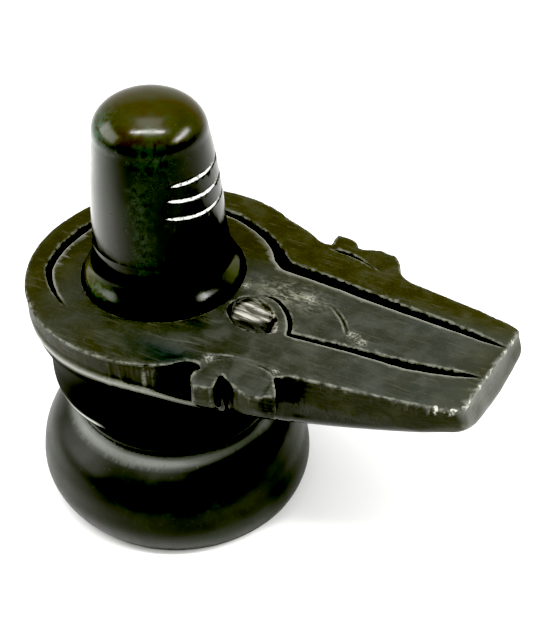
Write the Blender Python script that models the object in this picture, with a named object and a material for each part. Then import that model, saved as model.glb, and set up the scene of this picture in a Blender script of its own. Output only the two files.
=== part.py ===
"""A small shiva lingam carved from one block of dark stone.

The waist and the bowl under the plate are turned on one upright axis. The foot and the
lingam with its roll collar are round too, and leave that axis by about a millimetre at
most, as hand work does. The plate (yoni) and its spout are cut to a drawn outline: straight
upright walls cut down through the turned bowl and the boat-shaped underside of the spout.
Keyhole grooves, a gouged hollow, and three lines on the lingam are cut in afterwards.

Metres, +Z up. Origin: on the foot's flat underside, on the turned axis. +X: the spout.
"""

import math

import bmesh
import bpy
from mathutils import Vector

MM = 0.001

# ---------------------------------------------------------------- overall sizes, millimetres
TOTAL_HEIGHT = 100.0
PLATE_TOP = 58.8            # height of the flat top of the plate

# the foot: a drum with a full round side, then a waist
FOOT_CHAMFER = 0.5
FOOT_SIDE = ((0.0, 29.95), (4.0, 31.4), (8.0, 31.75), (12.0, 31.1), (16.0, 30.2), (20.0, 28.2), (24.6, 22.8))   # height, radius
FOOT_CENTRE_X = ((0.0, 0.05), (12.0, -0.7), (24.6, 0.0))    # the hand-finished foot isn't quite true: height, offset
FOOT_CENTRE_Y = ((0.0, 0.7), (12.0, -1.25), (24.6, 0.0))
FOOT_RIM_Z = 24.6           # the crease where the shoulder meets the waist
WAIST_R = 22.2
WAIST_Z = 27.2

# the bowl between waist and plate
BOWL_R = 27.1
BOWL_LIP_Z = 31.0
BOWL_FULL_Z = 36.0
BOWL_FLARE_Z = 42.5
PLATE_EDGE_Z = 51.7         # lower edge of the plate's wall
PLATE_EDGE_R = 30.0

# the plate, slightly off the turned axis as it was cut by hand
PLATE_R = 31.0
PLATE_X, PLATE_Y = 0.6, 1.0

# the spout
SPOUT_ROOT_X, SPOUT_ROOT_W = 38.0, 19.2      # half width where the lugs end
SPOUT_TAPER = 0.152                          # half width lost per mm
SPOUT_TIP_X = 72.4                           # top edge of the end face on the centre line
SPOUT_TIP_SLANT = 0.103                      # the end face isn't cut square
SPOUT_END_BULGE, SPOUT_END_LEAN, SPOUT_END_POWER = 1.3, 0.1, 2.2    # fullest near the lower edge
KEEL_Z, KEEL_SLOPE, KEEL_CURVE = 37.4, 0.281, 0.0013     # underside on the centre line at SPOUT_ROOT_X, and its rise
HULL_CURVE = 0.0232                          # the underside rises with the square of the distance from the centre line

# the lingam
LINGAM_X, LINGAM_Y = -0.5, -0.3
SHAFT_R0, SHAFT_SWELL, SHAFT_DRAW = 14.27, 0.13, 2.9
SHAFT_TOP_Z = 92.64
SHAFT_START_Z = 70.0
DOME_POWER = 0.85
COLLAR_R, COLLAR_Z = 17.1, 60.2
CREVICE_R, CREVICE_DEPTH = 16.9, 0.9

# cut lines
GROOVE_DEPTH_RATIO = 0.62   # depth of a V groove over its width
LINE_HEIGHTS = (87.1, 83.9, 80.0)
LINE_START_DEG = (-40.0, -45.0, -48.0)
LINE_END_DEG = 44.0
LINE_WIDTH, LINE_DEPTH = 0.95, 0.5

# mesh fineness
BASE_STEPS = 72
SHAFT_STEPS = 52


# ---------------------------------------------------------------- small tools
def clear_scene():
    for o in list(bpy.data.objects):
        bpy.data.objects.remove(o, do_unlink=True)


def new_object(name, verts, faces):
    mesh = bpy.data.meshes.new(name)
    mesh.from_pydata([tuple(c * MM for c in v) for v in verts], [], faces)
    mesh.validate()
    bm = bmesh.new()
    bm.from_mesh(mesh)
    bmesh.ops.recalc_face_normals(bm, faces=bm.faces)
    if bm.calc_volume(signed=True) < 0:
        bmesh.ops.reverse_faces(bm, faces=bm.faces)
    bm.to_mesh(mesh)
    bm.free()
    obj = bpy.data.objects.new(name, mesh)
    bpy.context.scene.collection.objects.link(obj)
    return obj


def lathe(name, profile, steps, centre):
    """Closed turned solid. The profile runs from the axis, round the outside, back to the axis, and
    centre gives the place of the axis at each height."""
    verts, faces, rings = [], [], []
    for r, z in profile:
        cx, cy = centre(z)
        if r < 1e-6:
            rings.append([len(verts)])
            verts.append((cx, cy, z))
        else:
            start = len(verts)
            for k in range(steps):
                a = 2 * math.pi * k / steps
                verts.append((cx + r * math.cos(a), cy + r * math.sin(a), z))
            rings.append(list(range(start, start + steps)))
    for lo, hi in zip(rings, rings[1:]):
        for k in range(steps):
            j = (k + 1) % steps
            if len(lo) == 1:
                faces.append((lo[0], hi[j], hi[k]))
            elif len(hi) == 1:
                faces.append((lo[k], lo[j], hi[0]))
            else:
                faces.append((lo[k], lo[j], hi[j], hi[k]))
    return new_object(name, verts, faces)


def bezier(p0, p1, p2, n):
    """Quadratic curve from p0 to p2 pulled towards p1, without its last point."""
    out = []
    for i in range(n):
        t = i / n
        out.append(tuple((1 - t) ** 2 * a + 2 * t * (1 - t) * b + t * t * c for a, b, c in zip(p0, p1, p2)))
    return out


def table(x, pairs):
    """Straight-line interpolation in a short list of (x, value)."""
    if x <= pairs[0][0]:
        return pairs[0][1]
    for (x0, v0), (x1, v1) in zip(pairs, pairs[1:]):
        if x <= x1:
            return v0 + (v1 - v0) * (x - x0) / (x1 - x0)
    return pairs[-1][1]


def smooth_table(x, pairs):
    """A curve through a short list of (x, value), with slopes taken from the neighbours."""
    if x <= pairs[0][0]:
        return pairs[0][1]
    n = len(pairs)
    slopes = []
    for i in range(n):
        (xa, va), (xb, vb) = pairs[max(0, i - 1)], pairs[min(n - 1, i + 1)]
        slopes.append((vb - va) / (xb - xa))
    for i in range(n - 1):
        (x0, v0), (x1, v1) = pairs[i], pairs[i + 1]
        if x <= x1:
            h = x1 - x0
            t = (x - x0) / h
            return ((1 + 2 * t) * (1 - t) ** 2 * v0 + t * (1 - t) ** 2 * h * slopes[i]
                    + t * t * (3 - 2 * t) * v1 + t * t * (t - 1) * h * slopes[i + 1])
    return pairs[-1][1]


def boolean(target, tool, kind):
    """Applies one exact boolean and removes the tool."""
    tool.hide_render = True
    tool.display_type = "WIRE"
    mod = target.modifiers.new("cut", "BOOLEAN")
    mod.operation = kind
    mod.solver = "EXACT"
    mod.object = tool
    deps = bpy.context.evaluated_depsgraph_get()
    mesh = bpy.data.meshes.new_from_object(target.evaluated_get(deps))
    target.modifiers.clear()
    old = target.data
    target.data = mesh
    bpy.data.meshes.remove(old)
    bpy.data.objects.remove(tool, do_unlink=True)


# ---------------------------------------------------------------- turned profiles
def foot_radius(z):
    return smooth_table(z, FOOT_SIDE)


def base_centre(z):
    return (smooth_table(z, FOOT_CENTRE_X), smooth_table(z, FOOT_CENTRE_Y))


def lingam_centre(z):
    return (LINGAM_X, LINGAM_Y)


def base_profile():
    p = [(0.0, 0.0), (foot_radius(0.0) - FOOT_CHAMFER, 0.0)]
    steps = 11
    for i in range(steps + 1):
        z = FOOT_CHAMFER + (FOOT_RIM_Z - FOOT_CHAMFER) * (i / steps) ** 0.8
        p.append((foot_radius(z), z))
    p += [(WAIST_R, FOOT_RIM_Z + 0.9), (WAIST_R, WAIST_Z), (WAIST_R + 1.2, WAIST_Z + 1.9)]
    p += [(25.2, BOWL_LIP_Z), (26.4, BOWL_LIP_Z + 1.6), (BOWL_R, BOWL_LIP_Z + 3.6), (BOWL_R, BOWL_FULL_Z + 2.0)]
    # the flare up to the plate's lower edge, then its rounded corner
    steps = 4
    for i in range(steps + 1):
        t = i / steps
        z = BOWL_FLARE_Z - 1.0 + (PLATE_EDGE_Z - BOWL_FLARE_Z + 1.0) * t
        p.append((BOWL_R + (PLATE_EDGE_R - BOWL_R) * t ** 1.7, z))
    p += [(PLATE_EDGE_R + 1.0, PLATE_EDGE_Z + 1.0), (PLATE_R + 1.0, PLATE_EDGE_Z + 2.2)]
    p += [(PLATE_R + 2.5, PLATE_EDGE_Z + 3.2), (PLATE_R + 2.5, PLATE_TOP), (0.0, PLATE_TOP)]
    return p


def shaft_radius(z):
    t = (z - PLATE_TOP) / (SHAFT_TOP_Z - PLATE_TOP)
    return SHAFT_R0 + SHAFT_SWELL * t - SHAFT_DRAW * t * t


def lingam_profile():
    p = [(0.0, PLATE_TOP - 4.0), (CREVICE_R - 0.5, PLATE_TOP - 4.0), (CREVICE_R - 0.5, PLATE_TOP - CREVICE_DEPTH + 0.3)]
    # the collar: a roll, then a short hollow up to the shaft
    p += [(COLLAR_R - 0.15, COLLAR_Z - 0.9), (COLLAR_R, COLLAR_Z - 0.1), (COLLAR_R - 0.45, COLLAR_Z + 1.1)]
    p += [(COLLAR_R - 1.1, COLLAR_Z + 2.1), (COLLAR_R - 1.8, COLLAR_Z + 3.15), (14.8, COLLAR_Z + 4.1)]
    p += [(14.5, COLLAR_Z + 5.4), (14.25, COLLAR_Z + 7.8)]
    steps = 7
    for i in range(steps + 1):
        z = SHAFT_START_Z + (SHAFT_TOP_Z - SHAFT_START_Z) * i / steps
        p.append((shaft_radius(z), z))
    steps = 7
    for i in range(1, steps):
        a = 0.5 * math.pi * i / steps
        p.append((shaft_radius(SHAFT_TOP_Z) * math.cos(a) ** DOME_POWER, SHAFT_TOP_Z + (TOTAL_HEIGHT - SHAFT_TOP_Z) * math.sin(a)))
    p.append((0.0, TOTAL_HEIGHT))
    return p


# ---------------------------------------------------------------- the plate's outline
def on_plate(angle_deg, r=PLATE_R):
    a = math.radians(angle_deg)
    return (PLATE_X + r * math.cos(a), PLATE_Y + r * math.sin(a))


def spout_half_width(x):
    return SPOUT_ROOT_W - SPOUT_TAPER * (x - SPOUT_ROOT_X)


def lug(side, x0, root, tooth, small_w, notch_w, notch, big_w, big, drop, back, end_root):
    """One side lug, from the plate towards the spout: a narrow tooth, a rounded notch, a broad tooth.
    side is -1 on the near side and +1 on the far side; the depths are distances from the centre line.
    drop is how far the broad tooth's outer corner lies inside its highest point, back how far its end face
    runs back before it meets the spout."""
    def at(x, d):
        return (x, PLATE_Y + side * d)
    x1 = x0 + small_w
    x2 = x1 + notch_w
    x3 = x2 + big_w
    pts = [at(x0, root), at(x0 - 0.3, tooth - 1.4)]
    pts += bezier(at(x0 - 0.2, tooth - 0.9), at(x0 + 0.3, tooth), at(x0 + 1.6, tooth), 3)
    pts += [at(x1 - 0.1, tooth - 0.8), at(x1 - 0.05, notch + 1.5)]
    pts += bezier(at(x1 - 0.15, notch + 0.5), at(x1 - 0.1, notch - 0.6), at(x2, notch + 0.1), 3)
    corner = big - drop
    pts += bezier(at(x2, notch + 0.1), at(x2 + 0.42 * big_w, big + drop - 0.1), at(x3, corner), 6)
    pts += [at(x3, corner), at(x3 - 0.45 * back, 0.5 * (corner + end_root) + 0.6), at(x3 - back, end_root)]
    return pts


def plate_outline():
    """The whole outline, anticlockwise from the far side of the plate."""
    pts = []
    steps = 44
    for i in range(steps):
        pts.append(on_plate(64.0 + (293.5 - 64.0) * i / steps))
    pts += bezier(on_plate(293.5), (17.5, -22.7), (21.3, -22.4), 5)
    pts += lug(-1, 22.0, 23.5, 28.4, 4.3, 1.6, 23.9, 10.9, 26.1, 0.8, 3.0, 20.4)
    x_end = SPOUT_TIP_X + 6.0
    for x in (38.3, 46.0, 54.0, 62.0, 70.0, x_end):
        pts.append((x, PLATE_Y - spout_half_width(x)))
    pts.append((x_end, PLATE_Y + 8.0))
    pts += [(SPOUT_TIP_X + 3.4, PLATE_Y + 10.8), (SPOUT_TIP_X + 1.7, PLATE_Y + 12.6), (SPOUT_TIP_X - 0.9, PLATE_Y + spout_half_width(SPOUT_TIP_X) - 0.1)]
    for x in (68.0, 60.0, 52.0):
        pts.append((x, PLATE_Y + spout_half_width(x)))
    far = lug(1, 27.9, 22.9, 27.1, 4.2, 1.6, 24.6, 8.9, 25.8, 1.6, -2.0, 19.4)
    pts += list(reversed(far))
    pts += bezier((27.0, 23.8), (23.2, 23.7), on_plate(64.0), 5)[1:]
    clean = []
    for q in pts:
        if not clean or math.dist(q, clean[-1]) > 0.15:
            clean.append(q)
    return clean


def outline_cutter():
    """Everything outside the outline, as a thick frame that is cut away."""
    inner = plate_outline()
    outer = [(-60.0, -60.0), (100.0, -60.0), (100.0, 60.0), (-60.0, 60.0)]
    z0, z1 = 40.3, PLATE_TOP + 3.0
    bm = bmesh.new()
    edges = []
    for loop in (inner, outer):
        vs = [bm.verts.new((x * MM, y * MM, z0 * MM)) for x, y in loop]
        for a, b in zip(vs, vs[1:] + vs[:1]):
            edges.append(bm.edges.new((a, b)))
    bmesh.ops.triangle_fill(bm, use_beauty=True, use_dissolve=False, edges=edges)
    inside = [f for f in bm.faces if all((v.co.xy - Vector((10 * MM, 0))).length < 200 * MM for v in f.verts)]
    up = bmesh.ops.extrude_face_region(bm, geom=inside)
    tops = [g for g in up["geom"] if isinstance(g, bmesh.types.BMVert)]
    bmesh.ops.translate(bm, verts=tops, vec=(0, 0, (z1 - z0) * MM))
    bmesh.ops.recalc_face_normals(bm, faces=bm.faces)
    if bm.calc_volume(signed=True) < 0:
        bmesh.ops.reverse_faces(bm, faces=bm.faces)
    mesh = bpy.data.meshes.new("outline_cutter")
    bm.to_mesh(mesh)
    bm.free()
    obj = bpy.data.objects.new("outline_cutter", mesh)
    bpy.context.scene.collection.objects.link(obj)
    return obj


# ---------------------------------------------------------------- the spout's boat-shaped body
def hull_bottom(x, y):
    s = x - SPOUT_ROOT_X
    z = KEEL_Z + KEEL_SLOPE * s + KEEL_CURVE * s * s + HULL_CURVE * (y - PLATE_Y) ** 2
    return min(z, PLATE_TOP - 3.0)


def tip_x(y):
    return SPOUT_TIP_X + SPOUT_TIP_SLANT * (y - PLATE_Y)


def end_bulge(t):
    """How far the end face stands out, from its top edge (t = 0) to its lower edge (t = 1)."""
    return SPOUT_END_LEAN * t + SPOUT_END_BULGE * math.sin(math.pi * t ** SPOUT_END_POWER)


def spout_body():
    ys = [PLATE_Y + 32.0 * (-1 + 2 * i / 24) for i in range(25)]
    xs = [6.0, 11.0, 16.0, 22.0, 28.0, 34.0, 42.0, 50.0, 58.0, 66.0]
    cap = [0.0, 0.25, 0.45, 0.6, 0.73, 0.84, 0.93]
    verts, faces, rows = [], [], []
    for y in ys:
        row = []
        for x in xs:
            row.append((x, y, PLATE_TOP))
        xt = tip_x(y)
        zb = hull_bottom(xt, y)
        for t in cap:
            row.append((xt + end_bulge(t), y, PLATE_TOP + (zb - PLATE_TOP) * t))
        row.append((xt - 0.6, y, hull_bottom(xt - 0.6, y)))
        for x in reversed(xs):
            row.append((x, y, hull_bottom(x, y)))
        start = len(verts)
        verts += row
        rows.append(list(range(start, start + len(row))))
    n = len(rows[0])
    for a, b in zip(rows, rows[1:]):
        for k in range(n):
            j = (k + 1) % n
            faces.append((a[k], a[j], b[j], b[k]))
    m = len(xs)
    for row, flip in ((rows[0], False), (rows[-1], True)):
        # the two long sides, as strips from top to bottom
        for k in range(m - 1):
            quad = (row[k], row[k + 1], row[n - 2 - k], row[n - 1 - k])
            faces.append(tuple(reversed(quad)) if flip else quad)
        rest = tuple(row[m - 1:n - m + 1])
        faces.append(tuple(reversed(rest)) if flip else rest)
    return new_object("spout_body", verts, faces)


# ---------------------------------------------------------------- cut lines
def v_groove(name, path, top=PLATE_TOP):
    """A V-shaped cutter along a plan path of (x, y, width); it fades out at both ends."""
    h = 0.5
    verts, faces = [], []
    n = len(path)
    for i, (x, y, w) in enumerate(path):
        a, b = path[max(0, i - 1)], path[min(n - 1, i + 1)]
        t = Vector((b[0] - a[0], b[1] - a[1])).normalized()
        side = Vector((-t.y, t.x))
        depth = w * GROOVE_DEPTH_RATIO
        half = 0.5 * w * (1 + h / depth)
        verts += [(x + side.x * half, y + side.y * half, top + h), (x - side.x * half, y - side.y * half, top + h), (x, y, top - depth)]
    for i in range(n - 1):
        a, b = 3 * i, 3 * i + 3
        faces += [(a, a + 1, b + 1, b), (a + 1, a + 2, b + 2, b + 1), (a + 2, a, b, b + 2)]
    faces += [(0, 2, 1), (3 * n - 3, 3 * n - 2, 3 * n - 1)]
    return new_object(name, verts, faces)


def far_groove_path():
    """Round the lingam from the near left, over the far side, then down the spout."""
    radius = [(31.0, 23.8), (45.0, 23.3), (68.0, 22.8), (90.0, 23.2), (120.0, 24.1), (150.0, 24.8), (180.0, 25.1), (207.0, 26.5), (238.0, 24.5)]
    width = [(31.0, 1.9), (45.0, 1.4), (90.0, 1.2), (150.0, 1.4), (180.0, 1.5), (207.0, 1.1), (225.0, 0.6), (238.0, 0.3)]
    path = []
    for deg in (238, 228, 217, 207, 198, 189, 180, 168, 156, 144, 132, 120, 108, 96, 84, 72, 60, 50, 40, 32):
        x, y = on_plate(deg, table(deg, radius))
        path.append((x, y, table(deg, width)))
    for x in (23.6, 30.0, 40.0, 50.0, 60.0, 68.0, 72.0):
        path.append((x, 12.55 - 0.093 * (x - 24.0), table(x, [(23.6, 2.2), (33.0, 2.1), (45.0, 1.7), (60.0, 1.5), (68.0, 1.1), (72.0, 0.5)])))
    return path


def near_groove_path():
    y = [(33.2, -7.25), (38.7, -6.6), (45.2, -5.9), (51.8, -5.6), (58.1, -5.0), (64.0, -3.8), (69.8, -2.3), (71.3, -2.0)]
    w = [(33.2, 0.8), (45.0, 1.1), (58.0, 1.4), (64.0, 1.0), (71.3, 0.4)]
    return [(x, v, table(x, w)) for x, v in y]


def hollow_arc_path():
    pts = bezier((21.2, 1.1), (30.6, 3.0), (32.9, -7.6), 8)
    pts.append((32.9, -7.6))
    return [(x, y, 0.5 + 0.4 * i / 8) for i, (x, y) in enumerate(pts)]


def hollow_cutter():
    """The gouged hollow beside the collar: its floor falls from the far edge to a steep near edge."""
    far = bezier((17.7, -4.6), (18.4, 0.6), (21.6, 0.3), 3) + bezier((21.6, 0.3), (26.8, -0.4), (30.4, -7.8), 5)
    near = bezier((30.4, -7.8), (22.5, -12.0), (17.7, -4.6), 7)
    pts = far + near
    a, b = Vector((19.4, -0.9)), Vector((28.3, -4.0))
    line = (b - a).normalized()
    down = Vector((line.y, -line.x))
    verts, faces = [], []
    for x, y in pts:
        fall = max(0.0, (Vector((x, y)) - a).dot(down))
        verts.append((x, y, PLATE_TOP - 0.35 - 0.26 * fall))
    n = len(pts)
    for x, y in pts:
        verts.append((x, y, PLATE_TOP + 0.8))
    for k in range(n):
        j = (k + 1) % n
        faces.append((k, j, n + j, n + k))
    faces.append(tuple(reversed(range(n))))
    faces.append(tuple(range(n, 2 * n)))
    return new_object("hollow_cutter", verts, faces)


def crevice_cutter():
    z = PLATE_TOP
    d = CREVICE_DEPTH
    prof = [(CREVICE_R - 1.2, z + 0.4), (CREVICE_R - 0.2, z - d), (CREVICE_R + 0.1, z - d), (CREVICE_R + 1.1, z + 0.4)]
    verts, faces = [], []
    steps, m = SHAFT_STEPS, len(prof)
    for k in range(steps):
        a = 2 * math.pi * k / steps
        for r, h in prof:
            verts.append((LINGAM_X + r * math.cos(a), LINGAM_Y + r * math.sin(a), h))
    for k in range(steps):
        j = (k + 1) % steps
        for i in range(m):
            i2 = (i + 1) % m
            faces.append((k * m + i, k * m + i2, j * m + i2, j * m + i))
    return new_object("crevice_cutter", verts, faces)


def shaft_line(index):
    """One horizontal V line on the spout side of the shaft, fading out at both ends."""
    z = LINE_HEIGHTS[index]
    a0, a1 = LINE_START_DEG[index], LINE_END_DEG
    steps = 14
    verts, faces = [], []
    for i in range(steps + 1):
        t = i / steps
        a = math.radians(a0 + (a1 - a0) * t)
        k = max(0.12, math.sin(math.pi * t) ** 0.4 if 0 < t < 1 else 0.12)
        r = shaft_radius(z)
        out, inn, half = r + 0.5, r - LINE_DEPTH * k, 0.5 * LINE_WIDTH * k * (1 + 0.5 / (LINE_DEPTH * k))
        ca, sa = math.cos(a), math.sin(a)
        for rr, zz in ((out, z - half), (out, z + half), (inn, z)):
            verts.append((LINGAM_X + rr * ca, LINGAM_Y + rr * sa, zz))
    for i in range(steps):
        a, b = 3 * i, 3 * i + 3
        faces += [(a, a + 1, b + 1, b), (a + 1, a + 2, b + 2, b + 1), (a + 2, a, b, b + 2)]
    faces += [(0, 2, 1), (3 * steps, 3 * steps + 1, 3 * steps + 2)]
    return new_object("shaft_line", verts, faces)


def stone_material():
    """Black-green polished stone."""
    mat = bpy.data.materials.new("dark_stone")
    mat.use_nodes = True
    shader = mat.node_tree.nodes["Principled BSDF"]
    shader.inputs["Base Color"].default_value = (0.035, 0.042, 0.030, 1.0)
    shader.inputs["Roughness"].default_value = 0.35
    shader.inputs["Metallic"].default_value = 0.0
    return mat


def main():
    clear_scene()
    body = lathe("shiva_lingam", base_profile(), BASE_STEPS, base_centre)
    boolean(body, spout_body(), "UNION")
    boolean(body, outline_cutter(), "DIFFERENCE")
    boolean(body, v_groove("far_groove", far_groove_path()), "DIFFERENCE")
    boolean(body, v_groove("near_groove", near_groove_path()), "DIFFERENCE")
    boolean(body, v_groove("hollow_arc", hollow_arc_path()), "DIFFERENCE")
    boolean(body, hollow_cutter(), "DIFFERENCE")
    boolean(body, crevice_cutter(), "DIFFERENCE")
    shaft = lathe("shaft", lingam_profile(), SHAFT_STEPS, lingam_centre)
    boolean(body, shaft, "UNION")
    for i in range(len(LINE_HEIGHTS)):
        boolean(body, shaft_line(i), "DIFFERENCE")
    bm = bmesh.new()
    bm.from_mesh(body.data)
    bmesh.ops.remove_doubles(bm, verts=bm.verts, dist=0.01 * MM)
    bmesh.ops.dissolve_limit(bm, angle_limit=math.radians(0.3), verts=bm.verts, edges=bm.edges)
    bmesh.ops.triangulate(bm, faces=bm.faces)
    bm.to_mesh(body.data)
    bm.free()
    body.data.materials.clear()
    body.data.materials.append(stone_material())
    body.data.shade_smooth()
    body.data.set_sharp_from_angle(angle=math.radians(32))


main()
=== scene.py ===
import math

import bmesh
import bpy
import numpy as np
from mathutils import Matrix, Vector


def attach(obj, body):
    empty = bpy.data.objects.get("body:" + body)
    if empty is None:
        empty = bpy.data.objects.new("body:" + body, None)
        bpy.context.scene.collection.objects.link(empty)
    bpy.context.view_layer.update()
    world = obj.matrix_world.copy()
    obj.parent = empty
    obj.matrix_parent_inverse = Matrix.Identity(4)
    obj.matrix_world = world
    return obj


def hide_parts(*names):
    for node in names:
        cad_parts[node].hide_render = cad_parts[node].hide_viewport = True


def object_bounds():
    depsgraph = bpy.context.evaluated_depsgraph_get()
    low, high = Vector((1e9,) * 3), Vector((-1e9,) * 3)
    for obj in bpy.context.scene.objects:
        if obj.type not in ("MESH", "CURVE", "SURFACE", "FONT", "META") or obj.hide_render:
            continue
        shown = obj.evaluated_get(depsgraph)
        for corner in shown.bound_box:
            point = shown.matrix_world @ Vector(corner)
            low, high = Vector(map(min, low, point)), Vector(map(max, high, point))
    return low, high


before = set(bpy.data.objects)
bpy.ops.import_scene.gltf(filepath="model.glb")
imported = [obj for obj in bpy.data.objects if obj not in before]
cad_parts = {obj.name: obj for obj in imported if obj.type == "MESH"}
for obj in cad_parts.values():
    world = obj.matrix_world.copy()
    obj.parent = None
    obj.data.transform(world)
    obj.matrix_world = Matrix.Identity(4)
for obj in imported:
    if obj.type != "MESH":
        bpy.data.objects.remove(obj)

CAD_LO, CAD_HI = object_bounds()

# =====================================================================================
# The carved stone as one fine mesh. All lengths below are in millimetres in the row
# frame: Z up from the foot's underside, X along the spout, the turned axis at x = y = 0.
# The form is a signed distance field (negative inside the stone): two turned profiles,
# a plan outline, a height map of the plate's top, the hull under the spout and the end
# face. The surface of that field is meshed, thinned and pulled back on to the field.
# =====================================================================================
F32 = np.float32
CELL = 0.36                 # mesh cell
TRIANGLES = 188000          # after thinning
PLATE_TOP = 58.8
PLATE_R, PLATE_X, PLATE_Y = 31.0, 0.6, 1.0
FOOT_RIM_Z = 24.65
LING_X, LING_Y = -0.5, -0.3
SHAFT_TOP_Z, TOP_Z = 92.64, 100.0
TIP_X, TIP_SLANT = 72.4, 0.103
KEEL_Z, KEEL_SLOPE, KEEL_CURVE, HULL_CURVE = 37.4, 0.281, 0.0013, 0.0232


# ------------------------------------------------------------------ noise
class Noise:
    """Smooth lattice noise in three dimensions, about -1 to 1, the same every run."""

    def __init__(self, seed, n=64):
        self.n = n
        self.t = np.random.RandomState(seed).uniform(-1, 1, n ** 3).astype(F32)

    def __call__(self, x, y, z):
        n = self.n
        xi, yi, zi = np.floor(x), np.floor(y), np.floor(z)
        u, v, w = x - xi, y - yi, z - zi
        u, v, w = (a * a * (3 - 2 * a) for a in (u, v, w))
        xi, yi, zi = (a.astype(np.int64) % n for a in (xi, yi, zi))
        x2, y2, z2 = (xi + 1) % n, (yi + 1) % n, (zi + 1) % n
        t = self.t

        def g(a, b, c):
            return t[(a * n + b) * n + c]
        c00 = g(xi, yi, zi) * (1 - u) + g(x2, yi, zi) * u
        c10 = g(xi, y2, zi) * (1 - u) + g(x2, y2, zi) * u
        c01 = g(xi, yi, z2) * (1 - u) + g(x2, yi, z2) * u
        c11 = g(xi, y2, z2) * (1 - u) + g(x2, y2, z2) * u
        return (c00 * (1 - v) + c10 * v) * (1 - w) + (c01 * (1 - v) + c11 * v) * w


noise_a, noise_b, noise_c = Noise(11), Noise(23), Noise(37)


def smoothstep(a, b, x):
    t = np.clip((x - a) / (b - a), 0, 1)
    return t * t * (3 - 2 * t)


def smax(a, b, k):
    h = np.maximum(k - np.abs(a - b), 0)
    return np.maximum(a, b) + h * h / (4 * k)


def smin(a, b, k):
    h = np.maximum(k - np.abs(a - b), 0)
    return np.minimum(a, b) - h * h / (4 * k)


# ------------------------------------------------------------------ curves
def spline(pts, per=8, closed=False):
    """A smooth curve through the points (centripetal enough for short even steps)."""
    p = np.array(pts, float)
    n = len(p)
    out = []
    last = n if closed else n - 1
    for i in range(last):
        p0 = p[(i - 1) % n] if closed or i > 0 else 2 * p[0] - p[1]
        p1, p2 = p[i % n], p[(i + 1) % n]
        p3 = p[(i + 2) % n] if closed or i + 2 < n else 2 * p[-1] - p[-2]
        for k in range(per):
            t = k / per
            out.append(0.5 * (2 * p1 + (p2 - p0) * t + (2 * p0 - 5 * p1 + 4 * p2 - p3) * t * t
                              + (3 * p1 - p0 - 3 * p2 + p3) * t ** 3))
    if not closed:
        out.append(p[-1])
    return [tuple(q) for q in out]


def bezier(p0, p1, p2, n):
    out = []
    for i in range(n):
        t = i / n
        out.append(tuple((1 - t) ** 2 * a + 2 * t * (1 - t) * b + t * t * c for a, b, c in zip(p0, p1, p2)))
    return out


class Table:
    """A function of two variables held on a grid."""

    def __init__(self, u0, u1, v0, v1, step):
        self.u0, self.v0, self.step = u0, v0, step
        self.nu, self.nv = int((u1 - u0) / step) + 2, int((v1 - v0) / step) + 2
        self.u = (u0 + step * np.arange(self.nu)).astype(F32)[:, None]
        self.v = (v0 + step * np.arange(self.nv)).astype(F32)[None, :]
        self.val = None

    def full(self):
        return np.broadcast_to(self.u, (self.nu, self.nv)), np.broadcast_to(self.v, (self.nu, self.nv))

    def at(self, u, v, values=None):
        val = self.val if values is None else values
        a = np.clip((u - self.u0) / self.step, 0, self.nu - 1.001)
        b = np.clip((v - self.v0) / self.step, 0, self.nv - 1.001)
        i, j = a.astype(np.int64), b.astype(np.int64)
        fu, fv = (a - i).astype(F32), (b - j).astype(F32)
        flat = val.reshape(-1)
        k = i * self.nv + j
        return ((flat[k] * (1 - fu) + flat[k + self.nv] * fu) * (1 - fv)
                + (flat[k + 1] * (1 - fu) + flat[k + self.nv + 1] * fu) * fv)


def polygon_distance(tab, pts):
    """Signed distance to a closed outline on the table's grid, negative inside."""
    U, V = tab.u, tab.v
    best = np.full((tab.nu, tab.nv), 1e9, F32)
    inside = np.zeros((tab.nu, tab.nv), bool)
    P = np.array(pts, F32)
    for a, b in zip(P, np.roll(P, -1, axis=0)):
        d = b - a
        L2 = float(d @ d)
        if L2 < 1e-12:
            continue
        du, dv = U - a[0], V - a[1]
        t = np.clip((du * d[0] + dv * d[1]) / L2, 0, 1)
        q = (du - t * d[0]) ** 2 + (dv - t * d[1]) ** 2
        np.minimum(best, q, out=best)
        if a[1] != b[1]:
            rows = (V > min(a[1], b[1])) & (V <= max(a[1], b[1]))
            cols = np.nonzero(rows[0])[0]
            if len(cols):
                cross = a[0] + (V[0, cols] - a[1]) * d[0] / d[1]
                inside[:, cols] ^= U < cross[None, :]
    best = np.sqrt(best)
    return np.where(inside, -best, best)


def path_field(tab, path, reach=4.0):
    """Distance to an open path of (x, y, width) and the path's width and place at the nearest point."""
    best = np.full((tab.nu, tab.nv), reach ** 2, F32)
    width = np.zeros((tab.nu, tab.nv), F32)
    side = np.zeros((tab.nu, tab.nv), F32)
    P = np.array(path, F32)
    for a, b in zip(P, P[1:]):
        i0 = max(0, int((min(a[0], b[0]) - reach - tab.u0) / tab.step))
        i1 = min(tab.nu, int((max(a[0], b[0]) + reach - tab.u0) / tab.step) + 2)
        j0 = max(0, int((min(a[1], b[1]) - reach - tab.v0) / tab.step))
        j1 = min(tab.nv, int((max(a[1], b[1]) + reach - tab.v0) / tab.step) + 2)
        if i0 >= i1 or j0 >= j1:
            continue
        du, dv = tab.u[i0:i1] - a[0], tab.v[:, j0:j1] - a[1]
        d = b[:2] - a[:2]
        L2 = float(d @ d) + 1e-9
        t = np.clip((du * d[0] + dv * d[1]) / L2, 0, 1)
        q = (du - t * d[0]) ** 2 + (dv - t * d[1]) ** 2
        s = np.sign(d[0] * dv - d[1] * du)
        near = q < best[i0:i1, j0:j1]
        best[i0:i1, j0:j1][near] = q[near]
        width[i0:i1, j0:j1][near] = (a[2] + (b[2] - a[2]) * t)[near]
        side[i0:i1, j0:j1][near] = np.broadcast_to(s, near.shape)[near]
    return np.sqrt(best), width, side


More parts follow.
